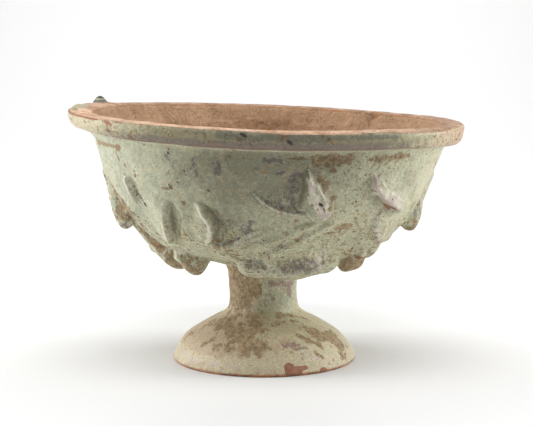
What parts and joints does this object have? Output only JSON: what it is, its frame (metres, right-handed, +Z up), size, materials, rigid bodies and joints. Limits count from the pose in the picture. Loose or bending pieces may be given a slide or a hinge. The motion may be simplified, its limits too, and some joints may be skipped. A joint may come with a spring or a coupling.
{
  "type": "high-footed bowl",
  "caption": "Deep earthenware bowl with a flat flanged rim on a hollow trumpet foot, its wall modelled with overlapping hills under a weathered green glaze.",
  "frame": {"origin": "middle of the vessel's footprint, on the surface that the foot ring stands on", "axes": "+Z up, front of the vessel faces -Y, its lean is towards +X"},
  "size_m": [0.3006, 0.3, 0.1995],
  "materials": {
    "glazed_earthenware": "weathered, matt to satin"
  },
  "bodies": {
    "root": {"footed_bowl": "glazed_earthenware"}
  },
  "joints": []
}
